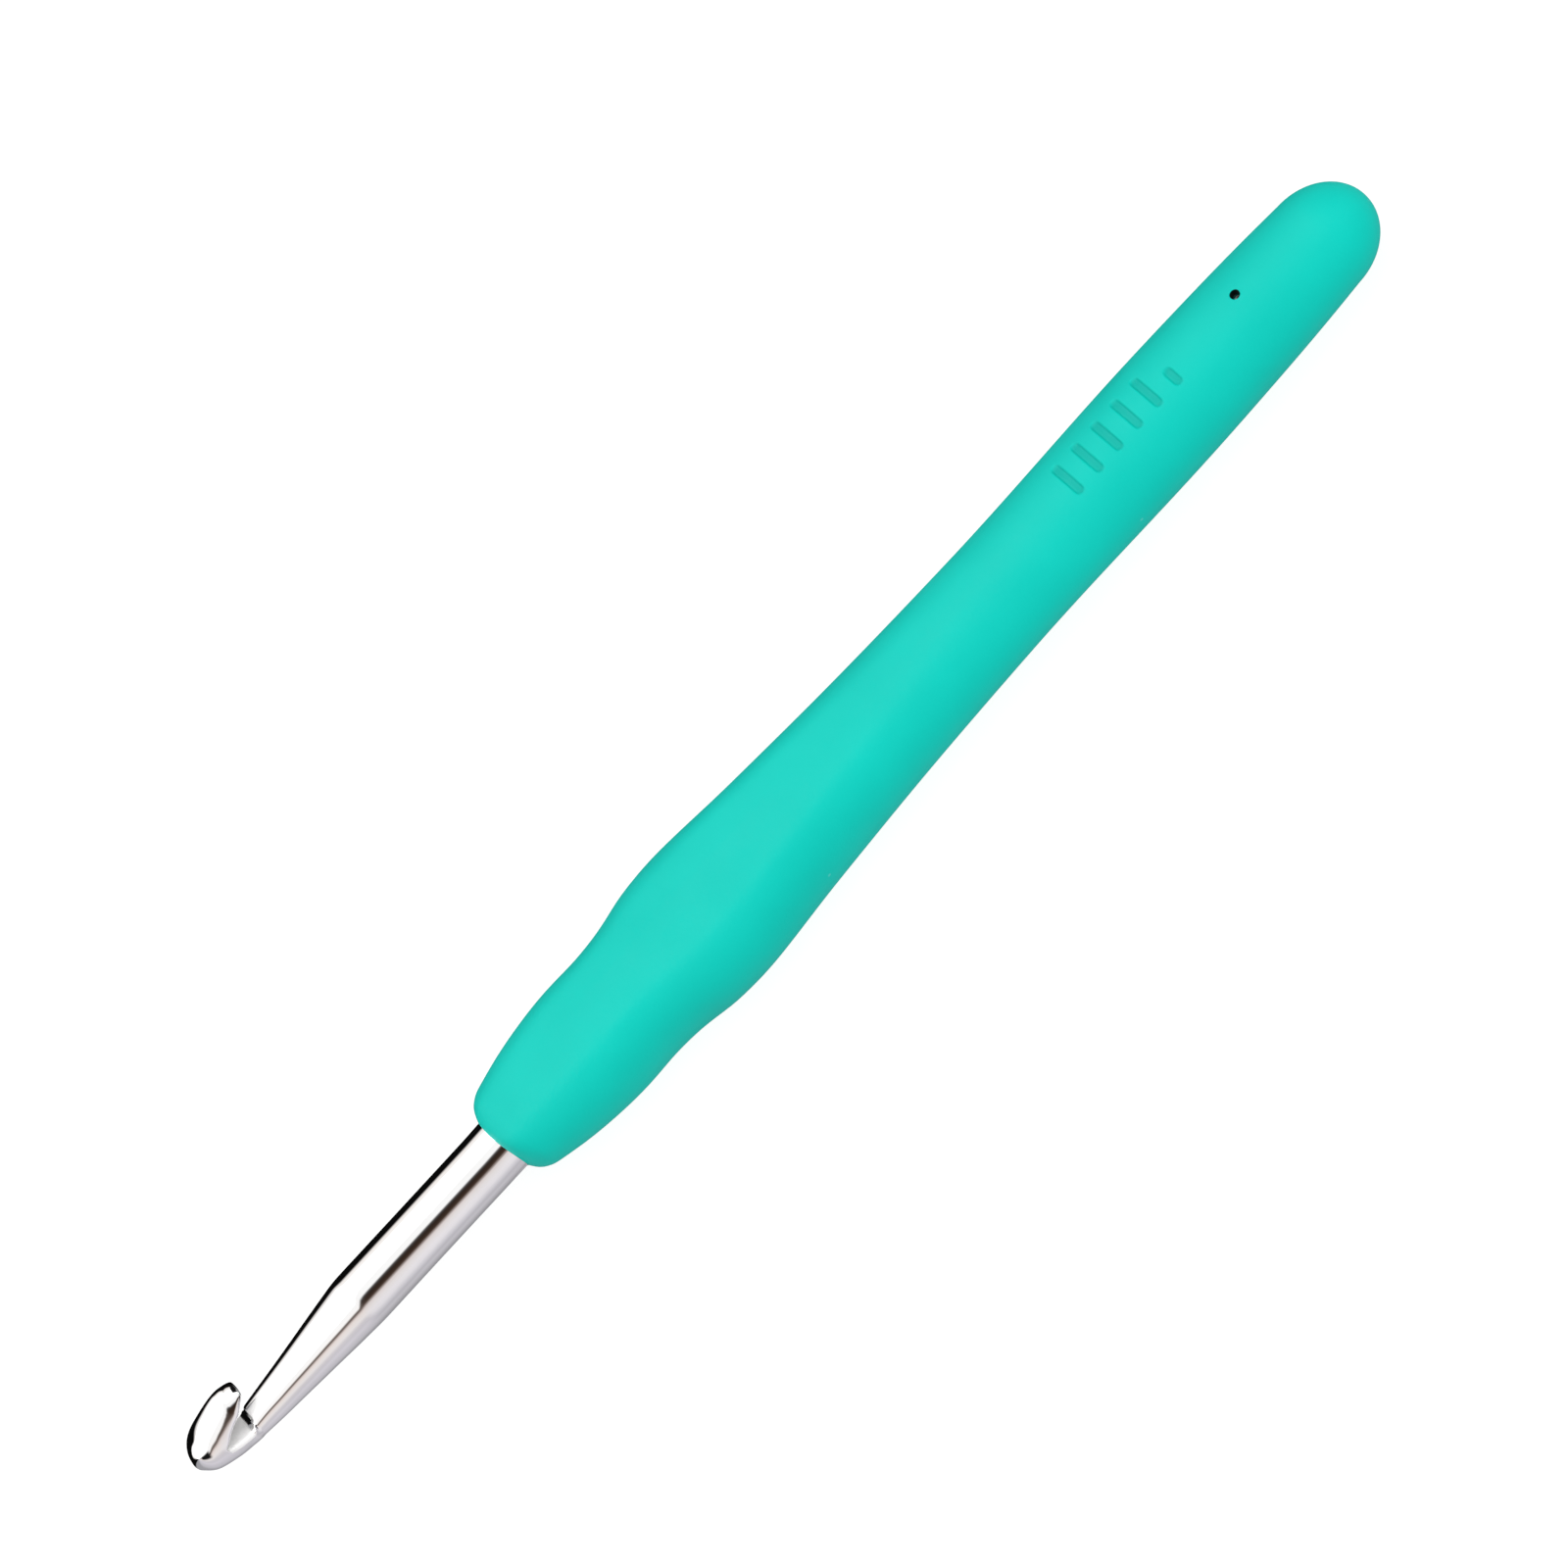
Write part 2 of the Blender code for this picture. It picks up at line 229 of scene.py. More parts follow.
# ---------------------------------------------------------------- the hook, as one implicit solid
def arc(cx, cy, r, a0, a1, n):
    a = np.radians(np.linspace(a0, a1, n))
    return [(cx + r * math.cos(t), cy + r * math.sin(t)) for t in a]


def area_distance(outline, x, y):
    """Signed distance to a closed outline in the hook's side plane, negative inside."""
    shape = x.shape
    x, y = x.ravel(), y.ravel()
    best = np.full(x.shape, 1e9)
    inside = np.zeros(x.shape, bool)
    for (ax, ay), (bx, by) in zip(outline, outline[1:] + outline[:1]):
        dx, dy = bx - ax, by - ay
        t = np.clip(((x - ax) * dx + (y - ay) * dy) / (dx * dx + dy * dy + 1e-12), 0, 1)
        best = np.minimum(best, (x - ax - t * dx) ** 2 + (y - ay - t * dy) ** 2)
        if ay != by:
            crosses = (ay > y) != (by > y)
            inside ^= crosses & (x < ax + (y - ay) * dx / dy)
    return np.where(inside, -1, 1).reshape(shape) * np.sqrt(best).reshape(shape)


def curve_through(points, n):
    """Points along a smooth curve through the given ones."""
    points = np.asarray(points, float)
    t = np.concatenate([[0], np.cumsum(np.hypot(*np.diff(points, axis=0).T))])
    return [tuple(p) for p in spline(t, points, np.linspace(0, t[-1], n))]


STEP_X = STEP[0] + STEP[2]
FLOOR_LINE = curve_through(list(APEX[1:]) + list(FLOOR) + arc(*STEP, -75, -60, 2), 26)
ROOF_LINE = curve_through(arc(*LIP_END, -41, -41, 1) + list(ROOF) + list(APEX[:2]), 26)
STEP_LINE = arc(*STEP, -58, 0, 14)
HEAD_SIDE = (
    [(-2, -4), (-2, 6), (6.1, 6)]
    + arc(*LIP_END, 84, -38, 20)
    + ROOF_LINE
    + FLOOR_LINE[1:]
    + STEP_LINE[:3]
    + [(STEP_LINE[2][0], -4)]
)
NOTCH_SIDE = [(3.0, 4.0)] + FLOOR_LINE[1:] + STEP_LINE + [(STEP_X + 0.05, 4.0)]


def oval(x, side, up, centre, rise, half):
    """Near-distance to an elliptical section, negative inside."""
    u, v = (up - centre) / rise, side / half
    k = np.sqrt(u * u + v * v) + 1e-9
    return k * (k - 1) / (np.sqrt((u / rise) ** 2 + (v / half) ** 2) + 1e-9)


def smooth_min(a, b, r):
    h = np.maximum(r - np.abs(a - b), 0) / r
    return np.minimum(a, b) - h * h * r / 4


def smooth_max(a, b, r):
    return -smooth_min(-a, -b, r)


def hook_field(x, side, up, head_side, notch_side):
    q = np.sqrt(np.clip(x, 1e-4, 7.5))
    top, bottom, half = np.moveaxis(spline(np.sqrt(HEAD[:, 0]), HEAD[:, 1:], q), -1, 0)
    half, rise = np.maximum(half, 0.01), np.maximum((top - bottom) / 2, 0.01)
    head = oval(x, side, up, (top + bottom) / 2, rise, half)
    head = np.where(x < 0, np.maximum(head, -x), head)
    blunt = LIP_PLAN[2]
    p, v = np.maximum((x - LIP_PLAN[0]) / LIP_PLAN[1], 0), np.abs(side) / 2.05
    k = (p**blunt + v**blunt + 1e-12) ** (1 / blunt)
    fall = np.hypot((p / k) ** (blunt - 1) / LIP_PLAN[1], (v / k) ** (blunt - 1) / 2.05)
    plan = (k - 1) / (fall + 1e-6)
    head = smooth_max(head, np.where(x > LIP_PLAN[0], plan, -1.0), 0.10)
    edge = 0.16 + 0.44 * ease(3.0, 4.2, x)
    head = smooth_max(head, head_side, edge)
    mid, rise, half = np.moveaxis(spline(SHANK[:, 0], SHANK[:, 1:], x), -1, 0)
    shank = oval(x, side, up, mid, rise, half)
    shank = np.maximum(smooth_max(shank, -notch_side, 0.30), 3.7 - x)
    solid = smooth_min(head, shank, 0.22)
    flats = np.abs(up) - TANG_FLAT_HALF
    return np.where(x > GRIP_FRONT + TANG_FLATS, np.maximum(solid, flats), solid)


def field_at(points):
    """The hook's field; the mouth's floor is crowned across the head, and its roof is straight."""
    x, side, up = points.T
    head_side, notch_side = np.full(x.shape, 3.0), np.full(x.shape, 3.0)
    near = x < 8.5
    crown = SADDLE[0] * (1 - (side / SADDLE[1]) ** 2) * ease(3.1, 4.3, x)
    level = up - np.maximum(crown, -0.35) * (1 - ease(1.0, 1.9, up))
    head_side[near] = area_distance(HEAD_SIDE, x[near], level[near])
    notch_side[near] = area_distance(NOTCH_SIDE, x[near], level[near])
    return hook_field(x, side, up, head_side, notch_side)


def gradient(points):
    e = 0.004
    out = np.empty_like(points)
    for k in range(3):
        d = np.zeros(3)
        d[k] = e
        out[:, k] = (field_at(points + d) - field_at(points - d)) / (2 * e)
    return out


def surface_nets(xs, ys, zs, v):
    """Quads of the zero surface of v on a grid: one point in each cell that the surface crosses."""
    inside = v < 0
    n = [len(xs), len(ys), len(zs)]
    count = np.zeros([m - 1 for m in n], np.int8)
    for i in (0, 1):
        for j in (0, 1):
            for k in (0, 1):
                count += inside[i : n[0] - 1 + i, j : n[1] - 1 + j, k : n[2] - 1 + k]
    cells = np.argwhere((count > 0) & (count < 8))
    index = np.full(count.shape, -1, np.int64)
    index[tuple(cells.T)] = np.arange(len(cells))
    axes = (xs, ys, zs)
    total, hits = np.zeros((len(cells), 3)), np.zeros(len(cells))
    for axis in range(3):
        others = [a for a in range(3) if a != axis]
        for p in (0, 1):
            for q in (0, 1):
                start = cells.copy()
                start[:, others[0]] += p
                start[:, others[1]] += q
                end = start.copy()
                end[:, axis] += 1
                a, b = v[tuple(start.T)], v[tuple(end.T)]
                cross = (a < 0) != (b < 0)
                t = np.where(cross, a / np.where(cross, a - b, 1), 0)
                pa = np.stack([axes[d][start[:, d]] for d in range(3)], 1)
                pb = np.stack([axes[d][end[:, d]] for d in range(3)], 1)
                total += np.where(cross[:, None], pa + (pb - pa) * t[:, None], 0)
                hits += cross
    points = total / hits[:, None]
    quads = []
    for axis in range(3):
        b, c = (axis + 1) % 3, (axis + 2) % 3
        lo = [slice(None)] * 3
        hi = [slice(None)] * 3
        lo[axis], hi[axis] = slice(0, -1), slice(1, None)
        changes = inside[tuple(lo)] != inside[tuple(hi)]
        at = np.argwhere(changes)
        at = at[(at[:, b] > 0) & (at[:, c] > 0) & (at[:, b] < n[b] - 1) & (at[:, c] < n[c] - 1)]
        flip = inside[tuple(at.T)]
        corner = []
        for db, dc in ((1, 1), (0, 1), (0, 0), (1, 0)):
            cell = at.copy()
            cell[:, b] -= db
            cell[:, c] -= dc
            corner.append(index[tuple(cell.T)])
        quad = np.stack(corner, 1)
        quad[~flip] = quad[~flip][:, ::-1]
        quads.append(quad)
    return points, np.concatenate(quads)


def steps(*runs):
    """Grid lines from (start, end, spacing) runs that follow each other."""
    lines = [np.linspace(a, b, max(2, int(round((b - a) / d)) + 1))[:-1] for a, b, d in runs]
    return np.concatenate(lines + [[runs[-1][1]]])


HEAD_CELL = 0.072  # the grid's spacing in the head and across the shaft


def make_hook():
    xs = steps((-0.14, 7.6, HEAD_CELL), (7.6, 9.0, 0.14), (9.0, 22.0, 0.5), (22.0, 86.0, 4.0),
               (86.0, 88.0, 0.25), (88.0, 98.0, 2.0), (98.0, 98.8, 0.2))
    sides = steps((-2.95, 2.95, HEAD_CELL))
    ups = steps((-2.95, 4.5, HEAD_CELL))
    grid = np.stack(np.meshgrid(xs, sides, ups, indexing="ij"), -1)
    v = field_at(grid.reshape(-1, 3)).reshape(grid.shape[:3])
    end = GRIP_FRONT + TANG_END
    v = np.maximum(v, grid[..., 0] - end)
    points, quads = surface_nets(xs, sides, ups, v)
    body = points[:, 0] < end - 0.25
    for _ in range(4):  # each pass moves the points closer to the exact surface
        g = gradient(points[body])
        f = field_at(points[body])
        g2 = (g * g).sum(1) + 1e-9
        points[body] -= np.clip(f / g2, -0.05, 0.05)[:, None] * g
    normals = gradient(points)
    normals[~body] = (1, 0, 0)
    normals /= np.linalg.norm(normals, axis=1)[:, None] + 1e-12
    x, _, up = points.T
    milled = ease(-0.62, -0.30, area_distance(HEAD_SIDE, x, up)) * ease(3.0, 3.3, x)
    milled *= (1 - ease(5.5, 5.8, x)) * (1 - ease(0.9, 1.2, up))
    turn = TWIST + VIEW_TILT
    slope = normals @ np.array((0, math.cos(turn), math.sin(turn)))  # how far it faces up in the view
    # the mouth's cut runs out along the shank
    run_out = ease(0.10, 0.30, slope) * (1 - ease(0.66, 0.78, slope)) * (1 - ease(1.55, 1.85, up))
    milled += run_out * ease(6.42, 6.6, x) * (1 - ease(8.1, 8.9, x))
    obj = mesh_object(
        "hook_polished", sagged(untwist(*points.T)), quads, ("milled", milled), untwist(*normals.T)
    )
    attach(obj, "root")
    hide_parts("hook")
    return obj


# ---------------------------------------------------------------- the grip
GRIP_T = np.concatenate([[0], np.cumsum(np.hypot(np.diff(GRIP[:, 0]), np.diff(GRIP[:, 1])))])


def grip_profile(t):
    """x, half width, half height and flat at a length t along the side outline, the tail's dome last."""
    last = GRIP_T[-1]
    out = spline(GRIP_T, GRIP, t)
    turn = np.clip((t - last) / TAIL_LENGTH, 0, 1) * math.pi / 2
    dome = np.array(t) > last
    out[dome, 0] = GRIP[-1, 0] + TAIL_LENGTH * np.sin(turn[dome])
    out[dome, 1] = out[dome, 2] = GRIP[-1, 1] * np.cos(turn[dome])
    out[:, 3] = np.clip(out[:, 3], 0, None)
    return out


def t_of_x(x):
    """The outline length at which the grip reaches x."""
    t = np.linspace(0, GRIP_T[-1], 4000)
    return np.interp(x, grip_profile(t)[:, 0], t)


def tally_depth(x, arc_at):
    """How deep the pressed strokes are at a place on the grip."""
    depth = np.zeros_like(x)
    for i in range(TALLY_COUNT):
        hi = TALLY_ARC if i < TALLY_COUNT - 1 else 0.0
        dx = np.abs(x - (TALLY_X + i * TALLY_PITCH))
        lo = -TALLY_ARC + TALLY_HALF
        da = np.maximum(np.maximum(lo - arc_at, arc_at - (hi - TALLY_HALF)), 0)
        d = np.hypot(dx, da) - TALLY_HALF
        s = np.clip(0.5 - d / 0.20, 0, 1)
        depth = np.maximum(depth, s * s * (3 - 2 * s))
    return depth * TALLY_DEPTH


def crowned(x, y):
    """x moved by the front face's crown, which fades out along the grip."""
    return x + FRONT_CROWN * y * y * (1 - ease(0.5, 3.0, x))


def grip_point(t, turn):
    """Points of the grip's outer skin, for outline lengths t and turns about the axis."""
    x, width, height, flat = grip_profile(np.atleast_1d(t)).T
    c, s = np.cos(turn), np.sin(turn)
    shift = flat * np.tanh(c * 9) / math.tanh(9)
    y, z = shift + (width - flat) * c, height * s
    radius = np.hypot(y, z) + 1e-9
    about = np.arctan2(y, z)
    grow = 1 + (0.045 * ease(0.4, 2.0, x) - tally_depth(x, about * radius)) / radius
    return np.stack([GRIP_FRONT + crowned(x, y), y * grow, z * grow], -1)


def core_point(t, turn):
    """Points just outside the hard core, which the grip's inner skin follows."""
    x, width, height, _ = grip_profile(np.atleast_1d(t)).T
    rib = np.zeros_like(x)
    for at in CORE_RIBS:
        rib = np.maximum(rib, np.clip((RIB_HALF + 0.3 - np.abs(x - at)) / 0.2, 0, 1))
    grow = 0.06 + rib * (RIB_HEIGHT + 0.02)
    y = (width - WALL_SIDE + grow) * np.cos(turn)
    z = (height - WALL_FLAT + grow) * np.sin(turn)
    return np.stack([GRIP_FRONT + x, y, z], -1)


ROUND = 240  # points round the grip
TURNS = 2 * math.pi * np.arange(ROUND) / ROUND
PIN_PATCH = (95.4, 97.4, 0.143)  # start, end and spacing of the rows round the pin hole
PIN_COLUMNS = 7  # half the columns that the pin hole's patch takes
PIN_SHARES = (0.75, 0.5, 0.3, 0.15, 0.001)  # rings from the patch's rim in to the hole's mouth
PATCH_R = 5.1  # the grip's radius beside the pin hole
TAIL_X = GRIP_FRONT + GRIP[-1, 0] + TAIL_LENGTH


class Skin:
    """A closed skin that is built up from rings of points and the quads that join them."""

    def __init__(self):
        self.blocks, self.quads, self.count = [], [], 0

    def add(self, points):
        """Adds points and gives their numbers."""
        self.blocks.append(points)
        self.count += len(points)
        return np.arange(self.count - len(points), self.count)

    def points(self):
        return np.concatenate(self.blocks)

    def bridge(self, near, far):
        """Joins two closed rings."""
        self.quads.append(np.stack([near, np.roll(near, -1), np.roll(far, -1), far], -1))

    def extend(self, last, points, inner=False):
        """Adds a ring of points and joins it to the last one."""
        ring = self.add(points)
        self.bridge(*((ring, last) if inner else (last, ring)))
        return ring

    def cap(self, ring, x, inner=False):
        """Closes a ring with quads that meet on the axis."""
        pole = np.full(len(ring) // 2, self.add(np.array([[x, 0, 0]]))[0])
        first, second = ring.reshape(-1, 2).T
        after = np.roll(first, -1)
        fan = [first, pole, after, second] if inner else [first, second, after, pole]
        self.quads.append(np.stack(fan, -1))

    def sleeve(self, surface, ts, rows, shares, inner=False):
        """Rings at the outline lengths ts, with rings round the pin hole in place of one patch of cells.

        Gives the sleeve's point numbers by row, the ring at the hole's mouth, and that ring's angles.
        """
        (lo, hi), left, right = rows, ROUND // 4 - PIN_COLUMNS, ROUND // 4 + PIN_COLUMNS
        tt, turn = np.meshgrid(ts, TURNS, indexing="ij")
        index = self.add(surface(tt.ravel(), turn.ravel())).reshape(len(ts), ROUND)
        beside = np.roll(index, -1, 1)
        cells = np.stack([index[:-1], beside[:-1], beside[1:], index[1:]], -1)
        keep = np.ones(cells.shape[:2], bool)
        keep[lo:hi, left:right] = False
        rim = [(lo, j) for j in range(left, right)] + [(i, right) for i in range(lo, hi)]
        rim += [(hi, j) for j in range(right, left, -1)] + [(i, left) for i in range(hi, lo, -1)]
        row, column = np.array(rim).T
        middle = t_of_x(PIN_X)
        dx, du = ts[row] - middle, (TURNS[column] - math.pi / 2) * PATCH_R
        angle, reach = np.arctan2(du, dx), np.hypot(dx, du)
        made = len(self.quads)
        self.quads.append(cells[keep])
        ring = index[row, column]
        for share in shares:
            r = PIN_MOUTH_R + (reach - PIN_MOUTH_R) * share
            t, turn = middle + r * np.cos(angle), math.pi / 2 + r * np.sin(angle) / PATCH_R
            ring = self.extend(ring, surface(t, turn))
        if inner:
            self.quads[made:] = [quads[:, ::-1] for quads in self.quads[made:]]
        return index, ring, angle


def patch_rows(xs):
    """The rows of a sleeve at xs where the pin hole's patch starts and ends."""
    return [int(np.argmin(np.abs(xs - edge))) for edge in PIN_PATCH[:2]]


def add_outside(skin):
    """The outer skin, with closer rows at the front edge, the pressed strokes and the pin hole."""
    zones = [(GRIP[0, 0], 1.2, 0.08), (1.2, 8.0, 0.35), (8.0, 74.0, 0.75)]
    for i in range(TALLY_COUNT):
        c = TALLY_X + i * TALLY_PITCH
        zones.append((zones[-1][1], c - 0.56, 0.5))
        zones += [(c - 0.56, c - 0.26, 0.05), (c - 0.26, c + 0.26, 0.26), (c + 0.26, c + 0.56, 0.05)]
    xs = steps(*zones, (zones[-1][1], PIN_PATCH[0], 0.6), PIN_PATCH, (PIN_PATCH[1], GRIP[-1, 0], 0.5))
    ts = t_of_x(xs)
    ts[0] = 0
    tail = GRIP_T[-1] + TAIL_LENGTH * np.linspace(0, 1, 27)[1:] ** 0.9
    tail = tail[tail < GRIP_T[-1] + TAIL_LENGTH * 0.995]
    return skin.sleeve(grip_point, np.concatenate([ts, tail]), patch_rows(xs), PIN_SHARES)


def close_tail(skin, last):
    rim = skin.points()[last]
    for share in (0.6, 0.25):
        ring = rim * np.array((1, share, share))
        ring[:, 0] = TAIL_X - 0.005 * share
        last = skin.extend(last, ring)
    skin.cap(last, TAIL_X)


def add_bore(skin, last):
    """The mouth of the shaft's hole, then its wall."""
    bore = SHAFT_R + 0.03
    lead = [(0.24, bore + 0.03), (0.28, bore + 0.005)]
    lead += [(x, bore) for x in (0.40, 0.7, 1.1, 1.6, 2.2, 2.8, 3.4, 4.0, 4.4, 4.85)]
    for x, r in lead:
        y, z = r * np.cos(TURNS), r * np.sin(TURNS)
        ring = np.stack([GRIP_FRONT + crowned(x, y), y, z], -1)
        last = skin.extend(last, sagged(ring), inner=True)
    return last


def add_inside(skin, last):
    """The inner skin over the core, with its rib grooves and domed end; gives the pin hole's inner mouth."""
    zones = [(CORE_FROM - 0.1, CORE_RIBS[0] - 1.1, 2.0)]
    for rib, after in zip(CORE_RIBS, CORE_RIBS[1:] + (PIN_PATCH[0] + 1.1,)):
        zones += [(rib - 1.1, rib - 0.9, 0.1), (rib - 0.9, rib + 0.9, 0.6), (rib + 0.9, rib + 1.1, 0.1)]
        zones.append((rib + 1.1, after - 1.1, 2.0))
    xs = steps(*zones, PIN_PATCH, (PIN_PATCH[1], CORE_TO, 1.1))
    index, mouth, _ = skin.sleeve(core_point, t_of_x(xs), patch_rows(xs), PIN_SHARES[1:], inner=True)
    skin.bridge(index[0], last)
    last = index[-1]
    base = skin.points()[last]
    for a in np.radians((20, 40, 60, 75, 85)):
        ring = base * np.array((1, math.cos(a), math.cos(a)))
        ring[:, 0] = GRIP_FRONT + CORE_TO + CORE_DOME * math.sin(a)
        last = skin.extend(last, ring, inner=True)
    skin.cap(last, GRIP_FRONT + CORE_TO + CORE_DOME, inner=True)
    return mouth


def add_pin_hole(skin, mouth, inner_mouth, angle):
    """The pin hole's wall, with a small round at its mouth; gives the wall's points."""
    top = skin.points()[mouth, 2]
    walls = []
    for drop, wider in ((0.02, 0.045), (0.06, 0.012), (0.12, 0), (0.5, 0), (0.9, 0)):
        r = PIN_R + wider
        ring = np.stack([GRIP_FRONT + PIN_X + r * np.cos(angle), -r * np.sin(angle), top - drop], -1)
        mouth = skin.extend(mouth, ring)
        walls.append(mouth)
    skin.bridge(mouth, inner_mouth)
    return np.concatenate(walls[1:])


def make_grip():
    skin = Skin()
    index, mouth, angle = add_outside(skin)
    x, y, z = skin.points().T
    # painted shade in the pressed strokes, darker where they are pressed deeper
    strokes = STROKE_SHADE / TALLY_DEPTH * tally_depth(x - GRIP_FRONT, np.arctan2(y, z) * np.hypot(y, z))
    close_tail(skin, index[-1])
    inner_mouth = add_inside(skin, add_bore(skin, index[0]))
    wall = add_pin_hole(skin, mouth, inner_mouth, angle)
    # painted shade for each point: the pressed strokes, and the pin hole's wall at full strength, painted
    # near black
    recess_shade = np.zeros(skin.count)
    recess_shade[: len(strokes)] = strokes
    recess_shade[wall] = 1
    obj = mesh_object("grip_skin", skin.points(), np.concatenate(skin.quads), ("recess_shade", recess_shade))
    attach(obj, "root")
    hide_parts("grip")
    return obj


# ---------------------------------------------------------------- materials
def material(name):
    mat = bpy.data.materials.new(name)
    mat.use_nodes = True
    tree = mat.node_tree
    return mat, tree, tree.nodes["Principled BSDF"]


def node(tree, kind, **settings):
    made = tree.nodes.new(kind)
    for key, value in settings.items():
        if key[0].isupper():
            made.inputs[key].default_value = value
        else:
            setattr(made, key, value)
    return made


def ramp(tree, source, stops):
    """A colour or a level for each of the source's values, from (value, colour or level) stops."""
    made = tree.nodes.new("ShaderNodeValToRGB")
    elements = made.color_ramp.elements
    while len(elements) < len(stops):
        elements.new(0.5)
    for element, (at, colour) in zip(elements, stops):
        element.position = at
        if not hasattr(colour, "__len__"):
            colour = (colour,) * 3
        element.color = (*colour, 1)
    tree.links.new(source, made.inputs["Fac"])
    return made.outputs["Color"]


def noise(tree, where, scale, detail):
    made = node(tree, "ShaderNodeTexNoise", Scale=scale, Detail=detail)
    tree.links.new(where, made.inputs["Vector"])
    return made.outputs["Fac"]


def bump(tree, height, strength, distance, over=None):
    """A normal from a height, on top of another bump's normal if there is one."""
    made = node(tree, "ShaderNodeBump", Strength=strength, Distance=distance)
    tree.links.new(height, made.inputs["Height"])
    if over:
        tree.links.new(over, made.inputs["Normal"])
    return made.outputs["Normal"]


def product(tree, a, b):
    """The product of a socket and a socket or number."""
    made = node(tree, "ShaderNodeMath", operation="MULTIPLY")
    tree.links.new(a, made.inputs[0])
    if isinstance(b, float):
        made.inputs[1].default_value = b
    else:
        tree.links.new(b, made.inputs[1])
    return made.outputs[0]


def tint(tree, share, base, colour):
    """The base colour turned toward another one by a share."""
    made = node(tree, "ShaderNodeMix", data_type="RGBA")
    tree.links.new(share, made.inputs["Factor"])
    tree.links.new(base, made.inputs["A"])
    made.inputs["B"].default_value = (*colour, 1)
    return made.outputs["Result"]


def rubber_material():
    mat, tree, shader = material("soft_rubber_teal")
    link = tree.links.new
    where = node(tree, "ShaderNodeTexCoord").outputs["Object"]
    shader.inputs["Specular IOR Level"].default_value = 0.09
    shader.inputs["Subsurface Weight"].default_value = 0.0
    # slow change of tone, and small pale specks in the moulded rubber
    cloud = noise(tree, where, 90.0, 3.0)
    colour = ramp(tree, cloud, ((0.3, (0.0004, 0.600, 0.504)), (0.7, (0.0010, 0.640, 0.538))))
    cells = node(tree, "ShaderNodeTexVoronoi", Scale=420.0)
    link(where, cells.inputs["Vector"])
    dot = ramp(tree, cells.outputs["Distance"], ((0.0, 1.0), (0.055, 1.0), (0.085, 0.0)))
    split = node(tree, "ShaderNodeSeparateColor")
    link(cells.outputs["Color"], split.inputs["Color"])
    few = node(tree, "ShaderNodeMath", operation="GREATER_THAN")
    few.inputs[1].default_value = 0.93
    link(split.outputs["Red"], few.inputs[0])
    specks = product(tree, product(tree, dot, few.outputs[0]), 0.35)
    colour = tint(tree, specks, colour, (0.20, 0.75, 0.68))
    # painted shade: the pressed strokes are darkened and the pin hole's inside is painted near black, in
    # place of the shade that falls in these recesses
    recess_shade = node(tree, "ShaderNodeAttribute", attribute_name="recess_shade").outputs["Fac"]
    link(tint(tree, recess_shade, colour, (0.002, 0.012, 0.010)), shader.inputs["Base Color"])
    # satin finish, a little uneven
    patch = noise(tree, where, 260.0, 4.0)
    link(ramp(tree, patch, ((0.35, 0.46), (0.65, 0.56))), shader.inputs["Roughness"])
    # fine moulded grain over a faint ripple
    grain = bump(tree, noise(tree, where, 5200.0, 2.0), 0.35, 0.00004)
    ripple = bump(tree, noise(tree, where, 420.0, 2.0), 0.25, 0.00008, grain)
    link(ripple, shader.inputs["Normal"])
    return mat


def metal_material():
    mat, tree, shader = material("polished_aluminium")
    link = tree.links.new
    shader.inputs["Metallic"].default_value = 1.0
    where = node(tree, "ShaderNodeTexCoord").outputs["Object"]
    tone = noise(tree, where, 240.0, 3.0)
    colour = ramp(tree, tone, ((0.3, (0.93, 0.925, 0.92)), (0.7, (0.96, 0.957, 0.955))))
    link(colour, shader.inputs["Base Color"])
    # drawn along the shaft: faint lengthwise polishing lines
    stretch = node(tree, "ShaderNodeMapping")
    stretch.inputs["Scale"].default_value = (40.0, 4200.0, 4200.0)
    link(where, stretch.inputs["Vector"])
    lines = noise(tree, stretch.outputs["Vector"], 1.0, 3.0)
    rough = ramp(tree, lines, ((0.35, 0.025), (0.7, 0.055)))
    # the milled floor of the mouth is rougher and more matt than the polished outside
    milled = node(tree, "ShaderNodeAttribute", attribute_name="milled").outputs["Fac"]
    finish = node(tree, "ShaderNodeMath", operation="MULTIPLY_ADD")
    finish.inputs[1].default_value = 0.50
    link(milled, finish.inputs[0])
    link(rough, finish.inputs[2])
    link(finish.outputs[0], shader.inputs["Roughness"])
    link(bump(tree, lines, 0.06, 0.00001), shader.inputs["Normal"])
    matt = node(tree, "ShaderNodeBsdfDiffuse", Color=(0.93, 0.925, 0.92, 1), Roughness=0.4)
    blend = node(tree, "ShaderNodeMixShader")
    link(product(tree, milled, 0.8), blend.inputs[0])
    link(shader.outputs[0], blend.inputs[1])
    link(matt.outputs[0], blend.inputs[2])
    link(blend.outputs[0], tree.nodes["Material Output"].inputs["Surface"])
    return mat


def core_material():
    mat, tree, shader = material("core_plastic_moulded")
    link = tree.links.new
    where = node(tree, "ShaderNodeTexCoord").outputs["Object"]
    tone = noise(tree, where, 300.0, 3.0)
    colour = ramp(tree, tone, ((0.3, (0.60, 0.61, 0.58)), (0.7, (0.68, 0.69, 0.66))))
    link(colour, shader.inputs["Base Color"])
    link(ramp(tree, tone, ((0.3, 0.45), (0.7, 0.6))), shader.inputs["Roughness"])
    link(bump(tree, noise(tree, where, 3000.0, 2.0), 0.2, 0.00003), shader.inputs["Normal"])
    return mat


hook = make_hook()
hook.data.materials.append(metal_material())
grip = make_grip()
grip.data.materials.append(rubber_material())
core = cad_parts["handle_core"]
for slot in core.material_slots:
    slot.material = core_material()

# ---------------------------------------------------------------- studio
scene = bpy.context.scene
X = Vector((1, 0, 0))
TOWARD = Vector((0, -math.sin(VIEW_TILT), math.cos(VIEW_TILT)))
ACROSS = Vector((0, math.cos(VIEW_TILT), math.sin(VIEW_TILT)))


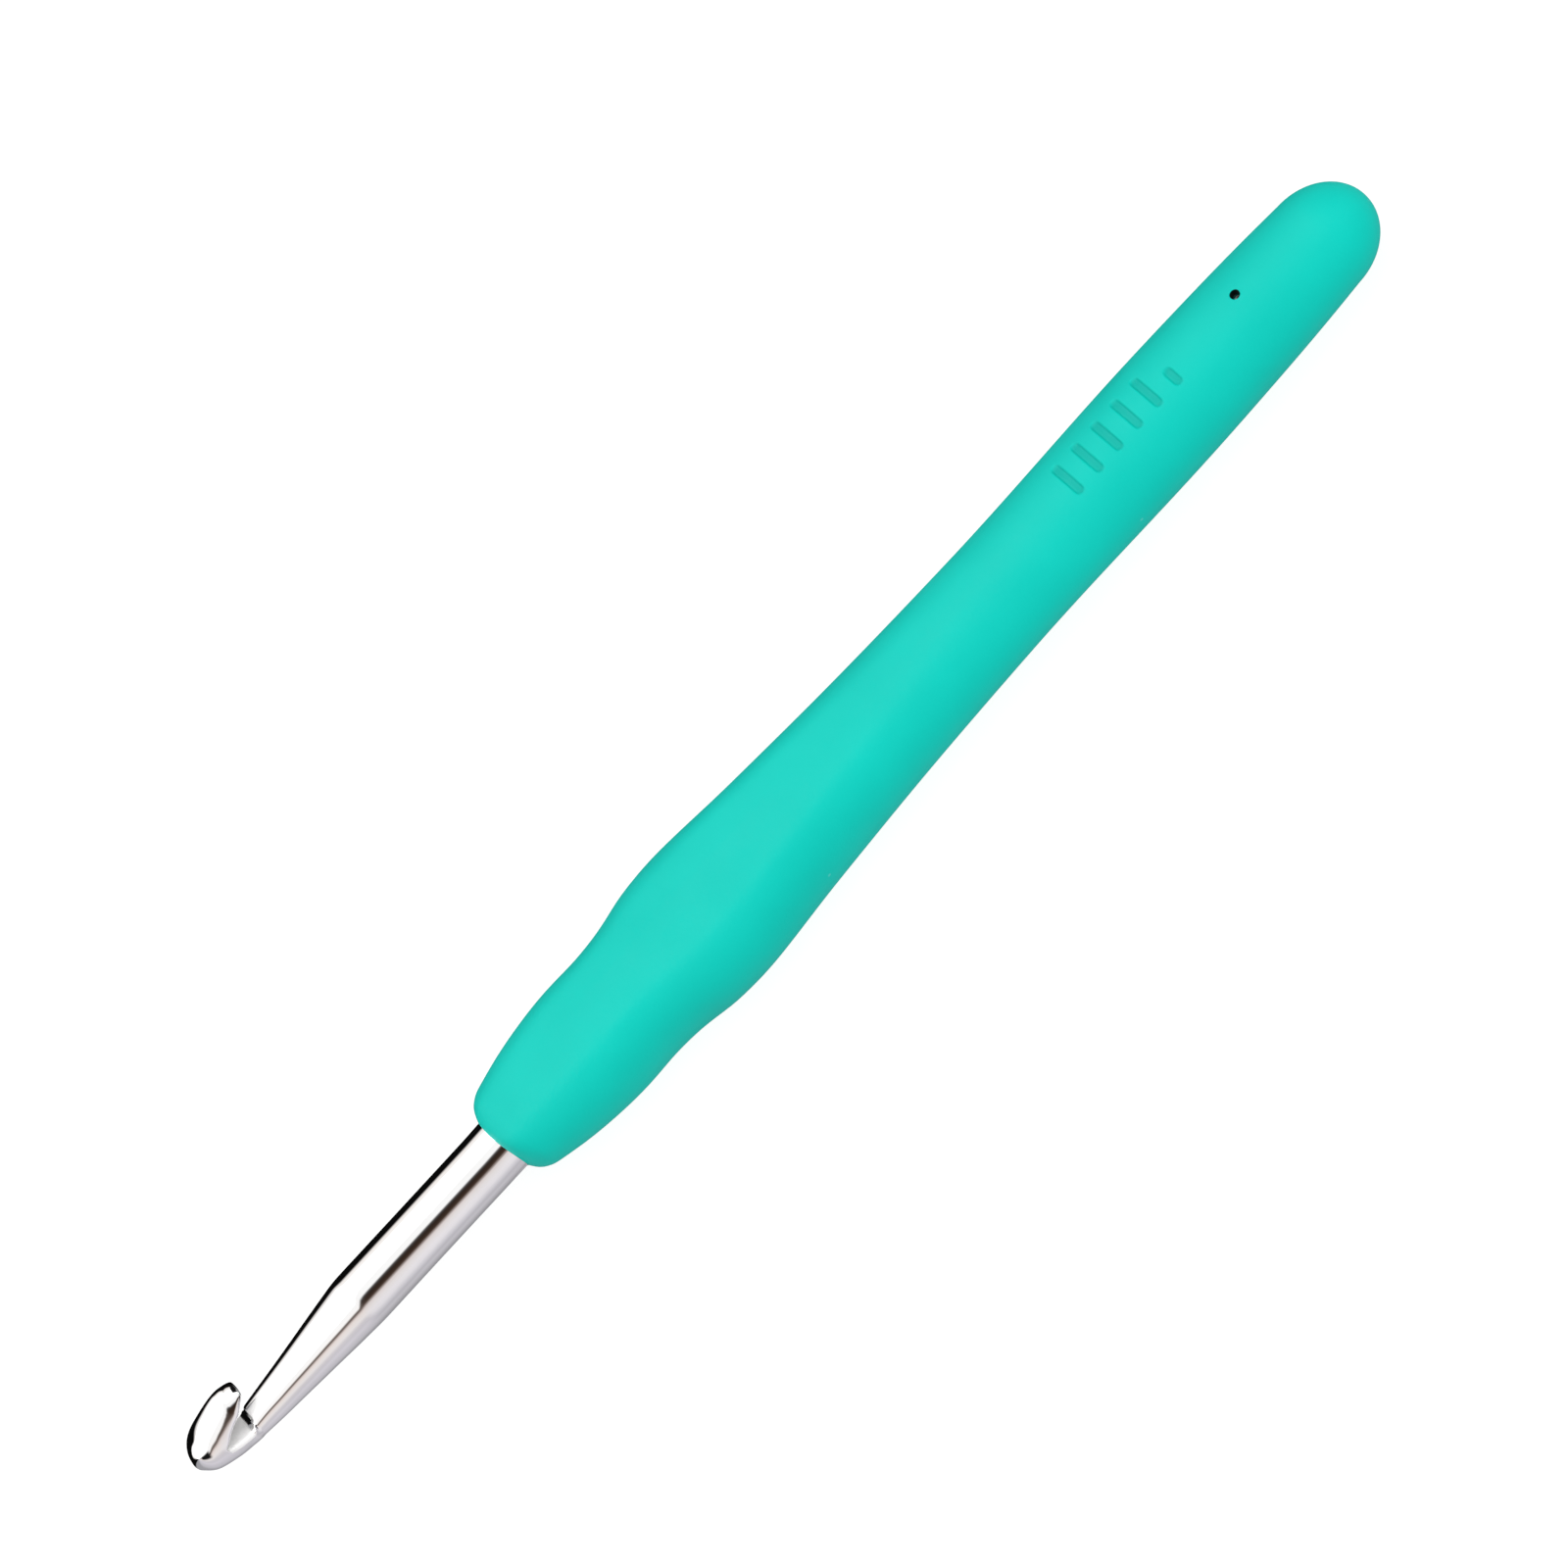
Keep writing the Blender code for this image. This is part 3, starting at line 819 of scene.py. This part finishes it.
def floor_plane():
    mesh = bpy.data.meshes.new("studio_floor")
    s = 1.5  # half its side, in metres
    mesh.from_pydata([(-s, -s, 0), (s, -s, 0), (s, s, 0), (-s, s, 0)], [], [(0, 1, 2, 3)])
    obj = bpy.data.objects.new("studio_floor", mesh)
    scene.collection.objects.link(obj)
    obj.location.z = -0.0001  # just clear of the rubber's lowest points
    mat, tree, shader = material("floor_paper")
    shader.inputs["Base Color"].default_value = (0.14, 0.14, 0.14, 1)
    shader.inputs["Roughness"].default_value = 0.9
    shader.inputs["Emission Color"].default_value = (1, 1, 1, 1)
    shader.inputs["Emission Strength"].default_value = 0.9
    obj.data.materials.append(mat)
    obj.visible_glossy = obj.visible_diffuse = False
    return obj


CORE = 3.2  # the middle of the white cloth is brighter than its edges
BLACK_CARD, GREY_CLOTH = 0.008, 0.34
TENT_RADIUS, TENT_X = 0.6, -0.045  # its size and the place along the tool that it is centred on
STRAIGHT = (  # degrees below the camera's direction, seen straight across the tool: light there
    (-180, 0.003, 0.003, 0.003),
    (-113, 0.003, 0.003, 0.003),
    (-102, 0.93, 0.88, 0.85),
    (-88, 1.0, 0.98, 0.96),
    (-76, CORE, CORE, CORE),
    (-36, CORE, CORE, CORE),
    (-26, 1.0, 1.0, 1.0),
    (-6, 1.0, 1.0, 1.0),
    (0, 0.09, 0.085, 0.085),
    (6, 0.032, 0.022, 0.018),
    (15, 0.038, 0.022, 0.015),
    (21, 0.07, 0.045, 0.034),
    (25.5, 0.26, 0.21, 0.19),
    (32.5, 0.74, 0.67, 0.66),
    (42, 0.80, 0.76, 0.76),
    (58, 0.83, 0.80, 0.83),
    (70, 0.80, 0.775, 0.81),
    (88, 0.61, 0.595, 0.64),
    (98, 0.51, 0.495, 0.535),
    (113, 0.55, 0.535, 0.575),
    (128, 0.45, 0.44, 0.47),
    (146, 0.32, 0.315, 0.335),
    (176, 0.30, 0.30, 0.32),
    (180, 0.003, 0.003, 0.003),
)
TOWARD_TIP = (  # the same bands seen leaning toward the tip, where the dark slot is narrow and lower
    (-180, 0.003, 0.003, 0.003),
    (-121, 0.003, 0.003, 0.003),
    (-113, 0.72, 0.69, 0.68),
    (-103, 1.0, 0.97, 0.95),
    (-76, CORE, CORE, CORE),
    (-10, CORE, CORE, CORE),
    (0, 1.0, 1.0, 1.0),
    (18, 1.0, 0.98, 0.97),
    (23.5, 0.20, 0.17, 0.155),
    (25, 0.17, 0.14, 0.125),
    (27, 0.17, 0.14, 0.125),
    (28.5, 0.19, 0.15, 0.135),
    (31, 0.42, 0.35, 0.33),
    (36, 0.76, 0.67, 0.64),
    (42, 0.84, 0.765, 0.74),
    (55, 0.83, 0.79, 0.79),
    (68, 0.65, 0.62, 0.65),
    (78, 0.61, 0.585, 0.63),
    (92, 0.66, 0.635, 0.69),
    (110, 0.58, 0.56, 0.61),
    (128, 0.53, 0.52, 0.56),
    (146, 0.37, 0.36, 0.39),
    (176, 0.33, 0.33, 0.35),
    (180, 0.003, 0.003, 0.003),
)


TOWARD_HANDLE = np.array(STRAIGHT, float)  # leaning toward the handle, the dark slot is narrow
TOWARD_HANDLE[6:14, 0] = (-12, -2, 4, 7, 16, 18.5, 21, 27)


def bands(below, angle):
    """The light of the tent's cloth at angles below the camera, along one line that leans by an angle."""
    straight, tip = np.array(STRAIGHT, float), np.array(TOWARD_TIP, float)
    share = float(ease(5, 12, -angle))
    table = straight * (1 - share) + tip * share
    table = table + (TOWARD_HANDLE - table) * float(ease(-2.6, 1, angle))
    # toward the tip the bands slip down, and the edge of the black behind comes nearer, then goes back
    slip = 16 * float(ease(18, 42, -angle)) * np.clip(1 - np.abs(below) / 90, 0, 1)
    rim = 30 * float(ease(18, 46, -angle) * (1 - ease(46, 60, -angle))) - 35 * float(ease(52, 68, -angle))
    at = below - slip - rim * ease(60, 90, -below)
    return np.stack([np.interp(at, table[:, 0], table[:, c]) for c in (1, 2, 3)], -1)


def tent_light(below, lean):
    """The light that the tent gives at angles below the camera and leaning toward the handle."""
    light = np.array([bands(below, angle) for angle in lean])
    below, lean = below[None, :], lean[:, None]
    # a black card in front of the tip, just below the camera's direction
    card = ease(29, 42, -lean) * (1 - ease(72, 80, -lean)) * ease(14, 24, below) * (1 - ease(46, 62, below))
    # past the handle, a black card high up behind it and another low in front, with grey cloth beside them
    high, low = ease(34, 48, -below), ease(6, 16, below) * (1 - ease(62, 76, below))
    card = np.maximum(card, ease(25, 31, lean) * np.maximum(high, low))
    grey = ease(30, 38, lean) * ease(140, 152, np.abs(below))
    grey = np.maximum(grey, ease(58, 66, lean) * ease(70, 90, -below))[..., None]
    card = card[..., None] * (1 - grey)
    return (light * (1 - grey) + GREY_CLOTH * grey) * (1 - card) + BLACK_CARD * card


def reflection_tent():
    """A tent round the tool that only gloss sees: white cloth over one side, black behind it, a dark slot
    by the camera and grey cloth on the other side, in bands that run along the tool."""
    turns, rings = 480, 180
    across, lean = np.arange(turns) * 360 / turns - 180, np.linspace(-90, 90, rings + 1)
    colour = tent_light(across, lean).reshape(-1, 3)
    across, lean = np.meshgrid(np.radians(across), np.radians(lean))
    toward, below = np.array(TOWARD), -np.array(ACROSS)
    points = (
        np.sin(lean)[..., None] * np.array((1, 0, 0))
        + (np.cos(lean) * np.cos(across))[..., None] * toward
        + (np.cos(lean) * np.sin(across))[..., None] * below
    )
    index = np.arange(points.shape[0] * turns).reshape(-1, turns)
    quads = np.stack(
        [index[:-1], np.roll(index, -1, 1)[:-1], np.roll(index, -1, 1)[1:], index[1:]], -1
    ).reshape(-1, 4)
    mesh = bpy.data.meshes.new("studio_tent")
    mesh.from_pydata((points.reshape(-1, 3) * TENT_RADIUS).tolist(), [], quads.tolist())
    light = mesh.attributes.new("light", "FLOAT_COLOR", "POINT")
    light.data.foreach_set("color", np.concatenate([colour, np.ones((len(colour), 1))], 1).ravel())
    obj = bpy.data.objects.new("studio_tent", mesh)
    scene.collection.objects.link(obj)
    obj.location = (TENT_X, 0, AXIS_Z * MM)
    obj.visible_camera = obj.visible_diffuse = obj.visible_shadow = False
    obj.visible_transmission = obj.visible_volume_scatter = False
    mat = bpy.data.materials.new("studio_tent")
    mat.use_nodes = True
    tree = mat.node_tree
    tree.nodes.clear()
    cloth = node(tree, "ShaderNodeAttribute", attribute_name="light")
    shine = node(tree, "ShaderNodeEmission")
    tree.links.new(cloth.outputs["Color"], shine.inputs["Color"])
    out = node(tree, "ShaderNodeOutputMaterial")
    tree.links.new(shine.outputs[0], out.inputs["Surface"])
    obj.data.materials.append(mat)
    return obj


def area_light(name, direction, distance, size, power):
    data = bpy.data.lights.new(name, "AREA")
    data.shape = "RECTANGLE"
    data.size, data.size_y = size
    data.energy = power
    obj = bpy.data.objects.new(name, data)
    scene.collection.objects.link(obj)
    direction = Vector(direction).normalized()
    obj.location = direction * distance
    obj.rotation_euler = direction.to_track_quat("Z", "Y").to_euler()
    obj.visible_glossy = False
    return obj


floor_plane()
reflection_tent()
key = ACROSS * math.sin(math.radians(30)) + TOWARD * math.cos(math.radians(30))
area_light("key_softbox", key, 1.0, (0.8, 0.5), 2.35)
area_light("front_softbox", TOWARD, 1.2, (0.8, 0.4), 3.1)
area_light("end_softbox", X * 0.85 + TOWARD * 0.45 - ACROSS * 0.25, 1.0, (0.5, 0.5), 1.6)

world = bpy.data.worlds.new("studio_world")
world.use_nodes = True
background = world.node_tree.nodes["Background"]
background.inputs["Color"].default_value = (1, 1, 1, 1)
background.inputs["Strength"].default_value = 0.60
scene.world = world
scene.view_settings.view_transform = "Standard"

# ---------------------------------------------------------------- camera
camera_data = bpy.data.cameras.new("camera")
camera = bpy.data.objects.new("camera", camera_data)
scene.collection.objects.link(camera)
scene.camera = camera
FRAME_WIDTH, LENS = 134.45, 200.0
distance = FRAME_WIDTH * MM * LENS / camera_data.sensor_width
camera_data.lens = LENS
camera_data.clip_start, camera_data.clip_end = 0.01, 20
aim = Vector(((77.24 - OVERALL / 2) * MM, 0, AXIS_Z * MM)) + ACROSS * 2.81 * MM
right = X * math.cos(ROLL) - ACROSS * math.sin(ROLL)
upward = X * math.sin(ROLL) + ACROSS * math.cos(ROLL)
camera.matrix_world = Matrix.Translation(aim + TOWARD * distance) @ Matrix(
    (right, upward, TOWARD)
).transposed().to_4x4()
